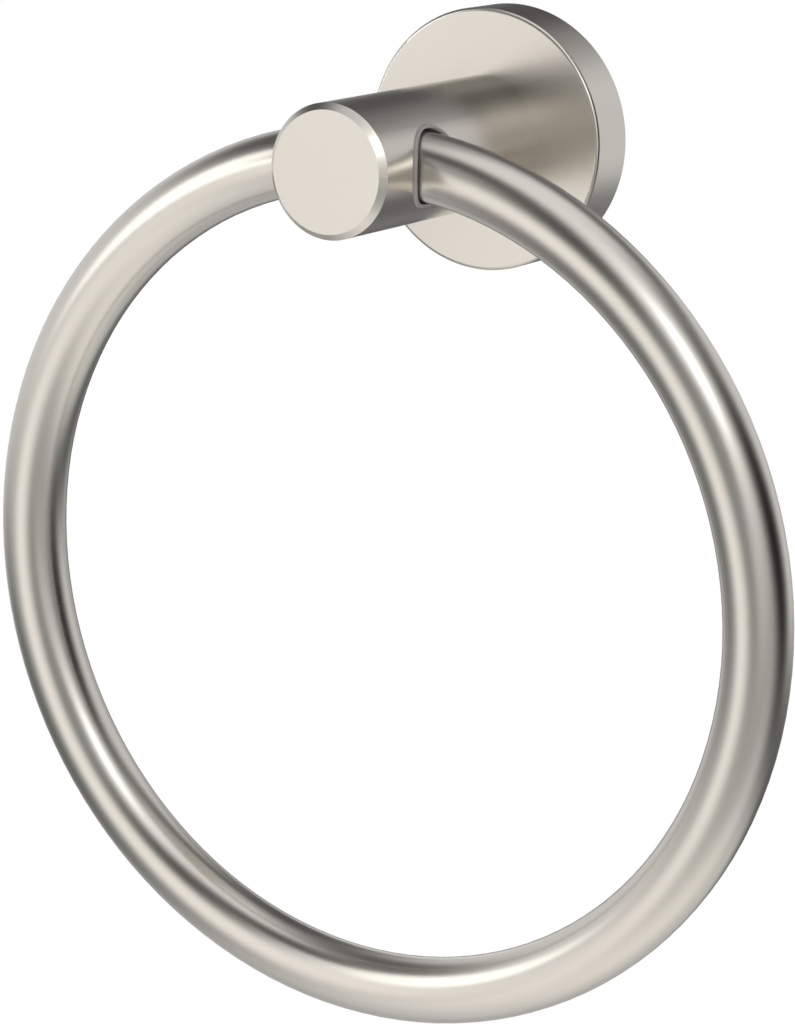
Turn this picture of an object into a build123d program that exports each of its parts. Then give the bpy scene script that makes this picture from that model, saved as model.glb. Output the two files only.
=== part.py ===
from build123d import *
import math
import os

# A wall-mounted towel ring: a round rose, a straight round post, and a ring of round tube that
# passes through the post. Millimetres, +Z up. The origin is the rose's centre on the wall, the
# object stands out from the wall towards -Y, and +X is to the right of someone facing the wall.

# Rose, a deep turned cup that stands on the wall
rose_diameter = 56.0
rose_depth = 12.5
rose_face = 3.0
rose_rim = 3.0
rose_front_rounding = 0.8
rose_back_chamfer = 0.4

# Post, a solid bar that stands on the rose
post_diameter = 27.5
post_projection = 74.0
post_front_chamfer = 1.3
spigot_diameter = 12.0
spigot_shortfall = 0.2

# Towel ring, a tube bent to a full circle
tube_diameter = 14.0
tube_wall = 1.2
ring_outer_diameter = 191.5
ring_setback = 19.5
joint_gap = 0.3
joint_dowel_length = 24.0

# Ring bushes, one in each mouth of the post's cross hole
bush_wall = 0.5
bush_depth = 5.0
bush_lip_width = 0.35
bush_lip_raise = 0.45
bush_lip_rounding = 0.3

# Wall bracket, a disc that the rose slips over
bracket_thickness = 7.0
groove_depth = 1.6
groove_from_wall = 3.5
bracket_chamfer = 0.4
wall_screw_hole = 4.8
wall_screw_head = 9.2

# Post bolt with its washer, in the axial thread of the post
bolt_thread = 8.0
bolt_length = 16.0
bolt_head_diameter = 13.0
bolt_head_height = 5.0
bolt_hex = 5.0
bolt_hex_depth = 2.5
bolt_end_chamfer = 1.0
washer_diameter = 16.0
washer_thickness = 1.6

# Locating pin between the rose and the post
pin_diameter = 3.0
pin_depth_in_post = 4.0
pin_end_chamfer = 0.3

# Grub screw that holds the rose on the bracket
grub_thread = 4.0
grub_length = 4.0
grub_hex = 2.0
grub_hex_depth = 2.0

# Lock screw and pad that hold the ring still in the post
lock_screw_length = 8.0
lock_hex = 4.0
lock_hex_depth = 3.0
lock_end_chamfer = 0.8
pad_thickness = 1.5

# Clearances
bracket_clearance = 0.5
bracket_bolt_clearance = 2.5
ring_clearance = 0.6
fit_clearance = 0.05
contact_clearance = 0.05
groove_clearance = 0.15
washer_bore_clearance = 0.2
cut_allowance = 1.0

# Radii and places that follow from the sizes above
rose_radius = rose_diameter / 2
post_radius = post_diameter / 2
tube_radius = tube_diameter / 2
spigot_radius = spigot_diameter / 2
thread_radius = bolt_thread / 2
ring_radius = ring_outer_diameter / 2 - tube_radius
ring_y = ring_setback - post_projection
bush_bore_radius = tube_radius + ring_clearance
bush_radius = bush_bore_radius + bush_wall
lip_radius = bush_radius + bush_lip_width
lip_crown = post_radius + bush_lip_raise
bush_middle_x = post_radius - bush_depth / 2
ring_z = -math.sqrt(ring_radius**2 - bush_middle_x**2)
bracket_radius = rose_radius - rose_rim - bracket_clearance
bracket_hole_radius = washer_diameter / 2 + bracket_bolt_clearance
wall_screw_x = (bracket_radius + bracket_hole_radius) / 2
pin_z = (spigot_radius + post_radius) / 2
rose_inner_y = rose_face - rose_depth


def turned(*outline):
    """A solid turned about the Y axis from (radius, y) corners."""
    return revolve(make_face(Polyline(*outline, close=True)), Axis.Y)


def bar_y(radius, back, front, x=0.0, z=0.0):
    """A round bar along Y between two y places."""
    return Pos(x, (back + front) / 2, z) * Rot(90, 0, 0) * Cylinder(radius, abs(front - back))


def bar_x(radius, left, right):
    """A round bar along X on the post's cross hole."""
    return Pos((left + right) / 2, ring_y, 0) * Rot(0, 90, 0) * Cylinder(radius, right - left)


def hex_socket(across_flats, depth, mouth, inwards):
    """The space of a hexagonal socket, from its mouth inwards."""
    outline = RegularPolygon(across_flats / 2, 6, major_radius=False)
    return extrude(Plane(mouth, z_dir=inwards) * outline, depth)


def bent(section, arc_length):
    """A section swept along the ring's centre line, as an arc that is centred at the top."""
    angle = math.degrees(arc_length / ring_radius)
    upright = Plane.YZ * Pos(0, ring_radius) * section
    return Pos(0, ring_y, ring_z) * Rot(0, -angle / 2, 0) * revolve(upright, Axis.Y, angle)


def end_circles(part, y):
    """The round edges of a turned part that lie at one y place."""
    return [e for e in part.edges().filter_by(GeomType.CIRCLE) if abs(e.center().Y - y) < 1e-4]


def rose():
    """The cup: a flat face, a thick rim, a hole for the post's spigot and a tapped hole below."""
    hole = spigot_radius + fit_clearance
    inner = rose_radius - rose_rim
    cup = turned(
        (hole, -rose_depth), (rose_radius, -rose_depth), (rose_radius, 0),
        (inner, 0), (inner, rose_inner_y), (hole, rose_inner_y),
    )
    outer_front = [e for e in end_circles(cup, -rose_depth) if e.radius > post_radius]
    cup = fillet(outer_front, rose_front_rounding)
    cup = chamfer(end_circles(cup, 0), rose_back_chamfer)
    behind = rose_inner_y + cut_allowance
    before = -rose_depth - cut_allowance
    cup -= bar_y(pin_diameter / 2, behind, before, 0, pin_z)
    tapping = Cylinder(grub_thread / 2, rose_rim + 2 * cut_allowance)
    return cup - Pos(0, -groove_from_wall, rose_rim / 2 - rose_radius) * tapping


def wall_bracket():
    """The disc under the rose: a V groove for the grub screw, and two countersunk screw holes."""
    groove_top = -groove_from_wall - groove_depth
    groove_bottom = -groove_from_wall + groove_depth
    disc = turned(
        (bracket_hole_radius, 0), (bracket_radius, 0), (bracket_radius, groove_bottom),
        (bracket_radius - groove_depth, -groove_from_wall), (bracket_radius, groove_top),
        (bracket_radius, -bracket_thickness), (bracket_hole_radius, -bracket_thickness),
    )
    front = [e for e in end_circles(disc, -bracket_thickness) if e.radius > wall_screw_x]
    disc = chamfer(front, bracket_chamfer)
    sink_depth = (wall_screw_head - wall_screw_hole) / 2
    sink = Rot(90, 0, 0) * Cone(wall_screw_hole / 2, wall_screw_head / 2, sink_depth)
    for x in (-wall_screw_x, wall_screw_x):
        disc -= bar_y(wall_screw_hole / 2, cut_allowance, -bracket_thickness - cut_allowance, x)
        disc -= Pos(x, sink_depth / 2 - bracket_thickness, 0) * sink
    return disc


def post():
    """The bar: a chamfered front, a spigot behind, an axial thread and the ring's cross hole."""
    spigot_y = rose_inner_y - spigot_shortfall
    shoulder = post_radius - post_front_chamfer
    bar = turned(
        (0, -post_projection), (shoulder, -post_projection),
        (post_radius, post_front_chamfer - post_projection), (post_radius, -rose_depth),
        (spigot_radius, -rose_depth), (spigot_radius, spigot_y), (0, spigot_y),
    )
    bar -= bar_y(thread_radius, spigot_y + cut_allowance, ring_y)
    bar -= bar_x(bush_radius + fit_clearance, -post_diameter, post_diameter)
    pin_hole_end = -rose_depth - pin_depth_in_post
    return bar - bar_y(pin_diameter / 2, cut_allowance - rose_depth, pin_hole_end, 0, pin_z)


def washer():
    """The plain washer under the bolt's head."""
    bore = thread_radius + washer_bore_clearance
    seat = rose_inner_y + washer_thickness
    rim = washer_diameter / 2
    return turned((bore, rose_inner_y), (rim, rose_inner_y), (rim, seat), (bore, seat))


def post_bolt():
    """The low-head socket bolt that draws the post onto the rose."""
    seat = rose_inner_y + washer_thickness
    top = seat + bolt_head_height
    shank = thread_radius - fit_clearance
    bolt = turned(
        (0, top), (bolt_head_diameter / 2, top), (bolt_head_diameter / 2, seat), (shank, seat),
        (shank, seat - bolt_length + bolt_end_chamfer),
        (shank - bolt_end_chamfer, seat - bolt_length), (0, seat - bolt_length),
    )
    return bolt - hex_socket(bolt_hex, bolt_hex_depth, (0, top, 0), (0, -1, 0))


def locating_pin():
    """The pin that keeps the post from turning on the rose."""
    radius = pin_diameter / 2 - fit_clearance
    pin = bar_y(radius, rose_inner_y, contact_clearance - rose_depth - pin_depth_in_post, 0, pin_z)
    return chamfer(pin.edges().filter_by(GeomType.CIRCLE), pin_end_chamfer)


def rose_grub_screw():
    """The cone-point screw in the bottom of the rim, with its point in the bracket's groove."""
    radius = grub_thread / 2 - fit_clearance
    point = groove_depth - bracket_radius - groove_clearance
    tail = point - grub_length
    screw = Pos(0, 0, (point - radius + tail) / 2) * Cylinder(radius, grub_length - radius)
    screw += Pos(0, 0, point - radius / 2) * Cone(radius, 0, radius)
    screw = Pos(0, -groove_from_wall, 0) * screw
    return screw - hex_socket(grub_hex, grub_hex_depth, (0, -groove_from_wall, tail), (0, 0, 1))


def towel_ring():
    """The tube, bent to a full circle whose butt joint is hidden inside the post."""
    whole_turn = 2 * math.pi * ring_radius
    section = Circle(tube_radius) - Circle(tube_radius - tube_wall)
    open_ring = bent(section, whole_turn - joint_gap)
    return Pos(0, ring_y, ring_z) * Rot(0, 180, 0) * Pos(0, -ring_y, -ring_z) * open_ring


def ring_joint_dowel():
    """The bent dowel inside the tube, across the butt joint."""
    return bent(Circle(tube_radius - tube_wall - contact_clearance), joint_dowel_length)


def ring_bush(side):
    """A bush in one mouth of the cross hole, with a rounded lip that follows the post's side."""
    behind = ring_y + post_diameter
    before = ring_y - post_diameter
    crown = bar_y(lip_crown, behind, before)
    lip = bar_x(lip_radius, 0, post_diameter) - bar_y(post_radius, behind, before)
    barrel = bar_x(bush_radius, post_radius - bush_depth, post_diameter)
    bush = (lip + barrel) & crown
    bush -= bar_x(bush_bore_radius, 0, post_diameter)
    crown_edges = [e for e in bush.edges() if lies_on_crown(e)]
    bush = fillet(crown_edges, bush_lip_rounding)
    return bush if side > 0 else mirror(bush, Plane.YZ)


def lies_on_crown(edge):
    """True for an edge all of whose points are at the lip's full height above the post's axis."""
    points = [edge.position_at(share) for share in (0.0, 0.25, 0.5, 0.75)]
    return all(abs(math.hypot(point.X, point.Z) - lip_crown) < 1e-3 for point in points)


def ring_lock_screw():
    """The socket screw in the post's axial thread, which presses the pad on the ring."""
    front = ring_y + tube_radius + contact_clearance + pad_thickness
    back = front + lock_screw_length
    radius = thread_radius - fit_clearance
    screw = bar_y(radius, back, front)
    screw = chamfer(screw.edges().filter_by(GeomType.CIRCLE), lock_end_chamfer)
    return screw - hex_socket(lock_hex, lock_hex_depth, (0, back, 0), (0, -1, 0))


def lock_pad():
    """The soft pad between the lock screw and the tube."""
    front = ring_y + tube_radius + contact_clearance
    return bar_y(thread_radius - fit_clearance, front + pad_thickness, front)


pieces = {
    "rose": rose(),
    "wall_bracket": wall_bracket(),
    "post": post(),
    "washer": washer(),
    "post_bolt": post_bolt(),
    "locating_pin": locating_pin(),
    "rose_grub_screw": rose_grub_screw(),
    "towel_ring": towel_ring(),
    "ring_joint_dowel": ring_joint_dowel(),
    "ring_bush_left": ring_bush(-1),
    "ring_bush_right": ring_bush(1),
    "ring_lock_screw": ring_lock_screw(),
    "lock_pad": lock_pad(),
}

os.makedirs("parts", exist_ok=True)
for name, piece in pieces.items():
    export_step(piece, f"parts/{name}.step")
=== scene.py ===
# %% [markdown]
# A wall-mounted towel ring in satin nickel. Three turned and bent metal pieces make the whole
# look: a round rose on the wall, a straight post, and a ring of tube that passes through the
# post between two grey bushes. Their shapes are already exact in the frame, so this lesson is
# about the finish of each piece, and about the light that makes plain metal readable.

# %% Frame
import math

import bmesh
import bpy
from mathutils import Matrix, Vector


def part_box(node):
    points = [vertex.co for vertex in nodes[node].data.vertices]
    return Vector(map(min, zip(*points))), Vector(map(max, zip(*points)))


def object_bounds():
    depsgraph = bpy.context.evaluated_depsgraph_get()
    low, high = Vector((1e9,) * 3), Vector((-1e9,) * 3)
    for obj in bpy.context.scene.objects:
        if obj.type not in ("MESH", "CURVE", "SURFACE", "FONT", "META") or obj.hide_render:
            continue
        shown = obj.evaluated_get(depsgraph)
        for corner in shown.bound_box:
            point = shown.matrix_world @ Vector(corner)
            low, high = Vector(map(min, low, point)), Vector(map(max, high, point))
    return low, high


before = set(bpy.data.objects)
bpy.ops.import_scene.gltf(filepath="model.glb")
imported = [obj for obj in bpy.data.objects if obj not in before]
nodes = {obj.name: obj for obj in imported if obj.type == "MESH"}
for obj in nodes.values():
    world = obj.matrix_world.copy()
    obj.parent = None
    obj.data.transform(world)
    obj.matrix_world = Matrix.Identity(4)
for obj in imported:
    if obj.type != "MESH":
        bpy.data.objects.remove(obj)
cad_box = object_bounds()
print("CAD box", [round(side * 1000, 1) for side in cad_box[1] - cad_box[0]], "mm")

# %% [markdown]
# Every size that the finishes need is read from the frame. The post and the rose are turned
# about the Y axis, but the ring is a circle about its own centre. A pattern that follows the
# maker's tool marks along the ring needs that centre, the radius of the tube, and the radius
# of the circle on which the tube is bent.

# %% Sizes
ring_low, ring_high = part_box("towel_ring")
tube_radius = (ring_high.y - ring_low.y) / 2
ring_middle = (ring_low + ring_high) / 2
ring_outer_radius = (ring_high.x - ring_low.x) / 2
ring_centre = Vector((0, ring_middle.y, ring_low.z + ring_outer_radius))
ring_radius = ring_outer_radius - tube_radius
print("Ring centre", [round(v * 1000, 2) for v in ring_centre], "mm, centre line radius",
      round(ring_radius * 1000, 2), "mm")

# %% [markdown]
# The camera stands to the right of the ring and a little above it. Its place and its angles
# were worked out from the outlines of the rose, the post and the ring in the photograph. The
# camera's axes are built from azimuth, elevation and roll, because three plain angles are
# easier to read and to correct than a rotation found by eye.

# %% Camera angles
camera_place = Vector((0.36522, -0.64012, 0.09458))
camera_azimuth = math.radians(31.549)
camera_elevation = math.radians(13.649)
camera_roll = math.radians(0.670)


def aim(azimuth, elevation, roll):
    """The camera's turn as a matrix, from its azimuth, elevation and roll."""
    flat = math.cos(elevation)
    forward = Vector((-math.sin(azimuth) * flat, math.cos(azimuth) * flat, -math.sin(elevation)))
    level = Vector((math.cos(azimuth), math.sin(azimuth), 0))
    upright = level.cross(forward)
    right = math.cos(roll) * level + math.sin(roll) * upright
    up = math.cos(roll) * upright - math.sin(roll) * level
    return Matrix((right, up, -forward)).transposed()


print("Camera", round(camera_place.length, 3), "m from the frame's origin")

# %% [markdown]
# The lens follows from the focal length that fits the photograph, in pixels, and from the
# picture's longer side. The camera is less than a metre away, so the ring's near side, on the
# right, looks a little thicker than its far side.

# %% Camera
photo_height = 1024
sensor_width = 36.0
focal_length_pixels = 3419.4
nearest_seen = 0.01

camera_data = bpy.data.cameras.new("camera")
camera_data.sensor_width = sensor_width
camera_data.lens = focal_length_pixels * sensor_width / photo_height
camera_data.clip_start = nearest_seen
camera = bpy.data.objects.new("camera", camera_data)
camera.rotation_mode = "QUATERNION"
camera.rotation_quaternion = aim(camera_azimuth, camera_elevation, camera_roll).to_quaternion()
camera.location = camera_place
bpy.context.scene.collection.objects.link(camera)
bpy.context.scene.camera = camera
print("Lens", round(camera_data.lens, 1), "mm")

# %% [markdown]
# Shader maths reads best as a sum. Signal wraps one socket and overloads the operators that
# the finishes use, so that `1 - mask * 0.3` adds its own Math nodes.

# %% Signal


class Signal:
    """A number that changes over a surface, with the operators that the finishes use."""

    def __init__(self, finish, socket):
        self.finish = finish
        self.socket = socket

    def maths(self, operation, *values):
        return self.finish.number(operation, *values)

    def __add__(self, other):
        return self.maths("ADD", self, other)

    def __sub__(self, other):
        return self.maths("SUBTRACT", self, other)

    def __rsub__(self, other):
        return self.maths("SUBTRACT", other, self)

    def __mul__(self, other):
        return self.maths("MULTIPLY", self, other)

    def __truediv__(self, other):
        return self.maths("DIVIDE", self, other)

    def __pow__(self, other):
        return self.maths("POWER", self, other)

    __radd__ = __add__
    __rmul__ = __mul__


print("Signal is ready")

# %% [markdown]
# Finish holds a material while it is made. Its one method for every other node sets the
# node's options first and then its inputs, each from a plain value or from another node's
# output. The short methods after it add the nodes that several finishes share.

# %% Finish


class Finish:
    """A material in the making: its nodes, and the output that they end in."""

    # The Mix node keeps its two colours and its mixed colour at these places.
    first_colour = 6
    second_colour = 7
    mixed_colour = 2

    def __init__(self, name):
        self.material = bpy.data.materials.new(name)
        self.material.use_nodes = True
        self.tree = self.material.node_tree
        self.tree.nodes.clear()

    def node(self, kind, options=None, inputs=None):
        """Adds a node, sets its options, and then feeds its inputs."""
        made = self.tree.nodes.new(kind)
        for name, value in (options or {}).items():
            setattr(made, name, value)
        for name, value in (inputs or {}).items():
            self.feed(made.inputs[name], value)
        return made

    def feed(self, socket, value):
        """Links a signal or an output to a socket, or sets the socket's own value."""
        if isinstance(value, Signal):
            value = value.socket
        if isinstance(value, bpy.types.NodeSocket):
            self.tree.links.new(value, socket)
        else:
            socket.default_value = value

    def number(self, operation, *values):
        """A Math node on up to three values."""
        made = self.node("ShaderNodeMath", {"operation": operation}, dict(enumerate(values)))
        return Signal(self, made.outputs[0])

    def place(self, centre=(0, 0, 0)):
        """The point's own place on the object, measured from a centre."""
        coordinates = self.node("ShaderNodeTexCoord").outputs["Object"]
        moved = self.node("ShaderNodeVectorMath", {"operation": "SUBTRACT"},
                          {0: coordinates, 1: tuple(centre)})
        split = self.node("ShaderNodeSeparateXYZ", inputs={0: moved.outputs[0]})
        return [Signal(self, split.outputs[axis]) for axis in range(3)]

    def vector(self, x, y, z):
        """Three numbers joined into a vector."""
        return self.node("ShaderNodeCombineXYZ", inputs={0: x, 1: y, 2: z}).outputs[0]

    def noise(self, vector, scale, detail=2.0):
        """Smooth noise from 0 to 1."""
        made = self.node("ShaderNodeTexNoise",
                         inputs={"Vector": vector, "Scale": scale, "Detail": detail})
        return Signal(self, made.outputs[0])

    def mix(self, factor, first, second):
        """A colour between two colours."""
        made = self.node("ShaderNodeMix", {"data_type": "RGBA"},
                         {"Factor": factor, self.first_colour: (*first, 1),
                          self.second_colour: (*second, 1)})
        return made.outputs[self.mixed_colour]

    def bump(self, height, distance):
        """The normal of a surface with fine relief."""
        made = self.node("ShaderNodeBump",
                         inputs={"Height": height, "Distance": distance, "Strength": 1.0})
        return made.outputs[0]

    def glow(self, colour, strength):
        """A shader that shines by itself."""
        return self.node("ShaderNodeEmission", inputs={"Color": colour, "Strength": strength})

    def end(self, shader):
        """Ends the material in a shader."""
        self.node("ShaderNodeOutputMaterial", inputs={"Surface": shader.outputs[0]})
        return self.material

    def shade(self, **inputs):
        """Ends the material in one physical shader."""
        named = {name.replace("_", " "): value for name, value in inputs.items()}
        return self.end(self.node("ShaderNodeBsdfPrincipled", inputs=named))


print("Finish is ready")

# %% [markdown]
# Satin nickel is polished, then brushed with a fine wheel and plated. The brush leaves hair
# lines that run round a turned piece and along a bent tube. They are far too fine to see one
# by one, but they soften every reflection. So the noise is stretched along the brush's path,
# and it moves the roughness and a very low bump, while the colour stays nearly even.

# %% Satin nickel
nickel_light = (0.788, 0.750, 0.680)
nickel_deep = (0.757, 0.720, 0.650)
nickel_roughness = 0.25
hair_line = 0.00012
hair_detail = 3.0
hair_relief = 0.0000004
hair_roughness = 0.06
cloud_size = 0.03
cloud_roughness = 0.03
noise_middle = 0.5


def swing(noise, amount):
    """A noise made to swing about nought, by the amount from end to end."""
    return (noise - noise_middle) * amount


def satin_nickel(name, across, along):
    """Nickel whose hair lines are fine in one direction and long in the other."""
    finish = Finish(name)
    across, along = across(finish), along(finish)
    hairs = finish.noise(finish.vector(across / hair_line, along, 0), 1.0, hair_detail)
    clouds = finish.noise(finish.vector(*finish.place()), 1 / cloud_size)
    roughness = nickel_roughness + swing(hairs, hair_roughness) + swing(clouds, cloud_roughness)
    return finish.shade(
        Base_Color=finish.mix(clouds, nickel_deep, nickel_light),
        Metallic=1.0,
        Roughness=roughness,
        Normal=finish.bump(hairs, hair_relief),
    )


print("Nickel roughness", nickel_roughness)

# %% [markdown]
# The brush's path is worked out from the point's own place. On a turned piece it runs round
# the Y axis, and on the ring it runs along the tube. One helper of each pair says how far
# across the path a point lies, and the other how far along it. So a flat face, a rim and a
# bent tube all get the right lines, and nothing has to be unwrapped.

# %% Paths of the brush
hairs_round_post = 24.0
hairs_round_ring = 3 * hairs_round_post


def round_axis(finish):
    """How far round the Y axis a point lies, as a number of hair lengths."""
    x, y, z = finish.place()
    return finish.number("ARCTAN2", z, x) * (hairs_round_post / math.tau)


def along_axis(finish):
    """The depth along the post, plus the distance from its axis, so that flat ends work too."""
    x, y, z = finish.place()
    return y + (x * x + z * z) ** 0.5


def round_tube(finish):
    """How far round the tube's own section a point lies, as a length."""
    x, y, z = finish.place(ring_centre)
    outwards = (x * x + z * z) ** 0.5 - ring_radius
    return finish.number("ARCTAN2", y, outwards) * tube_radius


def along_tube(finish):
    """How far round the ring a point lies, as a number of hair lengths."""
    x, y, z = finish.place(ring_centre)
    return finish.number("ARCTAN2", z, x) * (hairs_round_ring / math.tau)


turned_nickel = satin_nickel("turned_nickel", along_axis, round_axis)
tube_nickel = satin_nickel("tube_nickel", round_tube, along_tube)
print("Nickel finishes", turned_nickel.name, tube_nickel.name)

# %% [markdown]
# The bushes are moulded in grey plastic, and the pad under the lock screw in pale nylon. A
# moulded surface has no brush marks, only a faint mottle where the resin flowed, so an even
# noise is enough here. The bushes are smoother than the pad and shine more, so that their
# rounded lips mirror the tent.

# %% Moulded plastics
mottle_size = 0.0015
mottle_detail = 3.0
mottle_relief = 0.00001
mottle_roughness = 0.1


def moulded(name, dark, pale, roughness, shine):
    """A moulded plastic with a faint mottle."""
    finish = Finish(name)
    mottle = finish.noise(finish.vector(*finish.place()), 1 / mottle_size, mottle_detail)
    return finish.shade(
        Base_Color=finish.mix(mottle, dark, pale),
        Roughness=roughness + swing(mottle, mottle_roughness),
        Specular_IOR_Level=shine,
        Normal=finish.bump(mottle, mottle_relief),
    )


bush_grey = moulded("bush_grey", dark=(0.40, 0.39, 0.37), pale=(0.46, 0.45, 0.43),
                    roughness=0.25, shine=1.0)
pad_nylon = moulded("pad_nylon", dark=(0.70, 0.69, 0.63), pale=(0.78, 0.77, 0.71),
                    roughness=0.45, shine=0.5)
print("Plastics", bush_grey.name, pad_nylon.name)

# %% [markdown]
# Behind the rose and inside the post are the plain working pieces: a zinc-plated bracket,
# steel fasteners and a brass dowel. Zinc plate is dull and slightly blotched, and steel screws
# are darker with a finer grain, so all three are one recipe with other colours and with
# blotches of another size.

# %% Working metals
blotch_detail = 4.0
blotch_roughness = 0.2
grains_per_blotch = 12
grain_relief = 0.00001


def plain_metal(name, dark, pale, roughness, blotch_size):
    """An unpolished metal whose colour and shine change from blotch to blotch."""
    finish = Finish(name)
    blotches = finish.noise(finish.vector(*finish.place()), 1 / blotch_size, blotch_detail)
    grain = finish.noise(finish.vector(*finish.place()), grains_per_blotch / blotch_size)
    return finish.shade(
        Base_Color=finish.mix(blotches, dark, pale),
        Metallic=1.0,
        Roughness=roughness + swing(blotches, blotch_roughness),
        Normal=finish.bump(grain, grain_relief),
    )


zinc_plate = plain_metal("zinc_plate", dark=(0.50, 0.50, 0.49), pale=(0.66, 0.66, 0.65),
                         roughness=0.42, blotch_size=0.006)
screw_steel = plain_metal("screw_steel", dark=(0.36, 0.36, 0.37), pale=(0.50, 0.50, 0.51),
                          roughness=0.35, blotch_size=0.002)
bare_brass = plain_metal("bare_brass", dark=(0.70, 0.52, 0.24), pale=(0.80, 0.62, 0.32),
                         roughness=0.35, blotch_size=0.004)
print("Metals", zinc_plate.name, screw_steel.name, bare_brass.name)

# %% [markdown]
# Each piece takes one finish. Written as a parts list, the choice is easy to read, and a piece
# that is missing from it shows in the count.

# %% Finishes on the pieces
finish_of = {
    "rose": turned_nickel,
    "post": turned_nickel,
    "towel_ring": tube_nickel,
    "ring_bush_left": bush_grey,
    "ring_bush_right": bush_grey,
    "wall_bracket": zinc_plate,
    "post_bolt": screw_steel,
    "washer": screw_steel,
    "locating_pin": screw_steel,
    "rose_grub_screw": screw_steel,
    "ring_lock_screw": screw_steel,
    "lock_pad": pad_nylon,
    "ring_joint_dowel": bare_brass,
}
for name, material in finish_of.items():
    nodes[name].data.materials.clear()
    nodes[name].data.materials.append(material)
print("Finished", len(finish_of), "of", len(nodes), "pieces")

# %% [markdown]
# Bare metal shows nothing but its surroundings, so a photographer builds them: a round cloth
# tent, two soft lamps, and grey and dark flags between them. Here the tent is one sphere that
# the camera doesn't see. It is no wider than a real tent, so that the post and the bottom of
# the ring see each flag from their own sides. Each flag or lit patch is a soft oval on it.
# A row gives the azimuth and elevation in which it stands, its half width and half height in
# degrees, how light it is and how warm. Azimuth 0 is straight in front of the wall and grows
# to the right, and a later row lies over the earlier ones.

# %% Patches of the tent
tent_centre = Vector((0, -0.05, -0.09))
tent_radius = 0.7
tent_tone = 0.71
tent_warmth = 0.5
patches = {
    "overhead": (60, 80, 400, 16, 0.86, 0.5),
    "overhead_left": (-120, 67, 60, 10, 0.44, 0.5),
    "floor_right": (40, -64, 66, 24, 0.90, 0.9),
    "floor_left": (-140, -58, 75, 20, 0.48, 0.4),
    "front_low": (-17, -12, 25, 43, 1.07, 0.8),
    "right_side": (38, -16, 44, 30, 0.38, 0.5),
    "right_low": (45, 5, 18, 20, 0.60, 0.5),
    "lamp_halo": (54, 40, 29, 30, 1.05, 0.4),
    "high_left": (-100, 49, 60, 20, 0.08, 0.5),
    "high_front": (-28, 56, 32, 13, 0.06, 0.5),
    "high_back": (168, 47, 66, 14, 0.15, 0.5),
    "flag_front": (1, 35, 22, 28, 0.04, 0.5),
    "flag_front_low": (18, 6, 14, 24, 0.27, 0.5),
    "flag_back_left": (-158, 27, 20, 28, 0.08, 0.5),
    "flag_low_left": (-80, -28, 42, 20, 0.15, 0.3),
    "flag_low_back": (160, -28, 62, 15, 0.12, 0.2),
    "flag_back": (180, -6, 15, 12, 0.45, 0.3),
    "flag_right": (105, 7, 30, 46, 0.00, 0.5),
    "back_left_low": (-150, -17, 17, 12, 0.10, 0.2),
    "back_left": (-146, 2, 12, 7, 1.02, 0.5),
    "camera_side": (31, 14, 9, 11, 0.28, 0.5),
}
print("Tent with", len(patches), "patches")

# %% [markdown]
# The cloth's glow depends on the direction in which a point of the tent lies. A plain Gaussian
# would make the ovals too peaked, so its exponent is raised to a power, which gives each flag
# a flat middle and a firmer edge. Warmth is laid on in the same way as tone, and then picks a
# tint between a cool and a warm cloth.

# %% Tent cloth
oval_flatness = 1.7
cool_cloth = (0.96, 1.0, 1.05)
warm_cloth = (1.04, 1.0, 0.98)


def oval_share(finish, azimuth, elevation, half_width, half_height, angle_round, angle_up):
    """How much of one soft oval shows in a direction, from 0 to 1."""
    turn = finish.number("WRAP", angle_round - azimuth, -math.pi, math.pi)
    sideways = turn / half_width
    upwards = (angle_up - elevation) / half_height
    spread = (sideways * sideways + upwards * upwards) ** oval_flatness
    return finish.number("EXPONENT", 0 - spread)


def tent_cloth():
    """Glowing cloth whose tone and warmth change with the direction."""
    finish = Finish("tent_cloth")
    x, y, z = finish.place(tent_centre)
    angle_round = finish.number("ARCTAN2", x, 0 - y)
    angle_up = finish.number("ARCSINE", z / tent_radius)
    tone = tent_tone
    warmth = tent_warmth
    for *angles, level, warm in patches.values():
        sizes = [math.radians(angle) for angle in angles]
        share = oval_share(finish, *sizes, angle_round, angle_up)
        tone = tone + share * (level - tone)
        warmth = warmth + share * (warm - warmth)
    return finish.end(finish.glow(finish.mix(warmth, cool_cloth, warm_cloth), tone))


cloth_finish = tent_cloth()
print("Tent cloth with", len(cloth_finish.node_tree.nodes), "nodes")

# %% [markdown]
# The tent itself is a plain sphere, turned inside out so that its cloth faces the object.

# %% Tent
tent_columns = 96
tent_rows = 48


def stage_object(name, shape, material):
    """An object in the scene, made from a bmesh and covered in one material."""
    mesh = bpy.data.meshes.new(name)
    shape.to_mesh(mesh)
    shape.free()
    mesh.materials.append(material)
    made = bpy.data.objects.new(name, mesh)
    bpy.context.scene.collection.objects.link(made)
    return made


def tent():
    """The sphere round the object."""
    shape = bmesh.new()
    bmesh.ops.create_uvsphere(shape, u_segments=tent_columns, v_segments=tent_rows,
                              radius=tent_radius)
    bmesh.ops.reverse_faces(shape, faces=shape.faces)
    bmesh.ops.translate(shape, verts=shape.verts, vec=tent_centre)
    cloth = stage_object("tent", shape, cloth_finish)
    cloth.visible_camera = False
    cloth.visible_shadow = False
    print("Tent", 2 * tent_radius, "m across")


tent()

# %% [markdown]
# A small dark card hangs in front of the post, up on its left and much closer than the tent.
# Only reflections see it, and it keeps the post's top dark all the way back to the rose.

# %% Dark card
card_place = Vector((-0.117, -0.222, 0.09))
card_target = Vector((-0.005, -0.012, 0.018))
card_half_side = 0.043
card_tone = 0.05
white = (1, 1, 1, 1)


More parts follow.
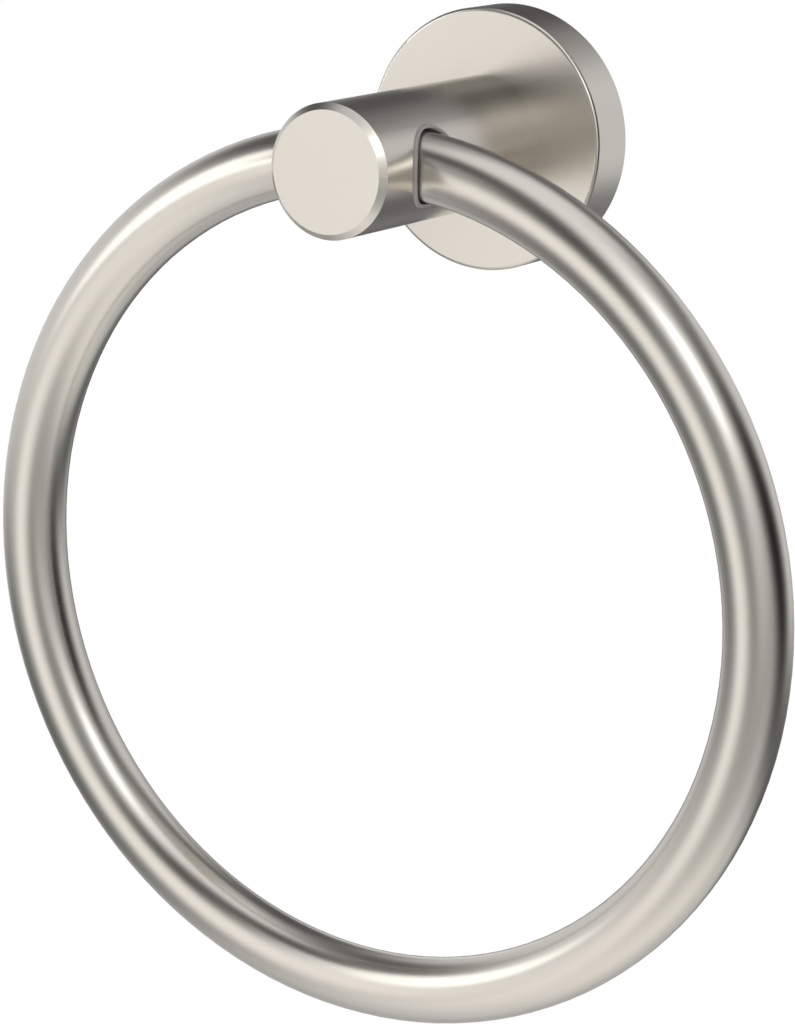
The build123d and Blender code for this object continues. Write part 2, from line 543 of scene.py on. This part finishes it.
def card():
    """A small square card that faces the post, and that only reflections see."""
    shape = bmesh.new()
    bmesh.ops.create_grid(shape, x_segments=1, y_segments=1, size=card_half_side)
    turn = (card_target - card_place).to_track_quat("Z", "Y").to_matrix()
    bmesh.ops.rotate(shape, verts=shape.verts, cent=(0, 0, 0), matrix=turn)
    bmesh.ops.translate(shape, verts=shape.verts, vec=card_place)
    finish = Finish("dark_card")
    board = stage_object("dark_card", shape, finish.end(finish.glow(white, card_tone)))
    board.visible_camera = False
    board.visible_shadow = False
    board.visible_diffuse = False
    print("Card", 2 * card_half_side, "m wide")


card()

# %% [markdown]
# Two soft lamps stand high to the left and right in front of the wall. They make the white
# bands on the ring and on the post's chamfer. The left one is a tall oval, and the right one
# is nearly round. A row gives a lamp's azimuth, elevation, half width and half height in
# degrees, as for the patches of the tent.

# %% Lamps
lamp_distance = 0.66
lamp_radiance = 0.9
lamps = {
    "lamp_left": (-50, 21, 15, 19),
    "lamp_right": (54, 37, 11, 13),
}


def soft_lamp(name, azimuth, elevation, half_width, half_height):
    """An oval lamp that faces the object, sized by the angles that it fills."""
    flat = math.cos(elevation)
    way = Vector((math.sin(azimuth) * flat, -math.cos(azimuth) * flat, math.sin(elevation)))
    lamp = bpy.data.lights.new(name, "AREA")
    lamp.shape = "ELLIPSE"
    lamp.size = 2 * lamp_distance * math.tan(half_width)
    lamp.size_y = 2 * lamp_distance * math.tan(half_height)
    area = math.pi * lamp.size * lamp.size_y / 4
    lamp.energy = lamp_radiance * math.pi * area
    lamp_object = bpy.data.objects.new(name, lamp)
    lamp_object.location = tent_centre + way * lamp_distance
    lamp_object.rotation_euler = way.to_track_quat("Z", "Y").to_euler()
    bpy.context.scene.collection.objects.link(lamp_object)
    print(name, round(lamp.energy, 3), "W")


for name, angles in lamps.items():
    soft_lamp(name, *[math.radians(angle) for angle in angles])

# %% [markdown]
# The floor is plain white paper well below the ring. The camera sees it as glowing paper, with
# a small share of its plain colour, so that a shadow still shows on it. Reflections don't see
# it, because the lower patches of the tent already stand there.

# %% Floor
floor_drop = 0.5
floor_size = 12.0
floor_squares = 8
floor_white = (0.9, 0.9, 0.9)
floor_glow = 1.02
shadow_share = 0.15


def floor():
    """The pale floor, white to the camera and plain to the light."""
    shape = bmesh.new()
    bmesh.ops.create_grid(shape, x_segments=floor_squares, y_segments=floor_squares,
                          size=floor_size / 2)
    bmesh.ops.translate(shape, verts=shape.verts, vec=(0, 0, cad_box[0].z - floor_drop))
    finish = Finish("floor_paper")
    seen = Signal(finish, finish.node("ShaderNodeLightPath").outputs["Is Camera Ray"])
    plain = finish.node("ShaderNodeBsdfDiffuse", inputs={"Color": (*floor_white, 1)})
    glowing = finish.glow(white, floor_glow)
    share = seen * (1 - shadow_share)
    both = finish.node("ShaderNodeMixShader",
                       inputs={0: share, 1: plain.outputs[0], 2: glowing.outputs[0]})
    paper = stage_object("floor", shape, finish.end(both))
    paper.visible_glossy = False
    print("Floor", floor_size, "m wide,", floor_drop, "m below the ring")


floor()

# %% [markdown]
# Past the floor the background is a white world. The Standard view keeps every colour as it is
# written, so that white stays white.

# %% Background
world_strength = 1.0
world = bpy.data.worlds.new("world")
world.use_nodes = True
world.node_tree.nodes["Background"].inputs["Color"].default_value = white
world.node_tree.nodes["Background"].inputs["Strength"].default_value = world_strength
bpy.context.scene.world = world
bpy.context.scene.view_settings.view_transform = "Standard"
print("World strength", world_strength)
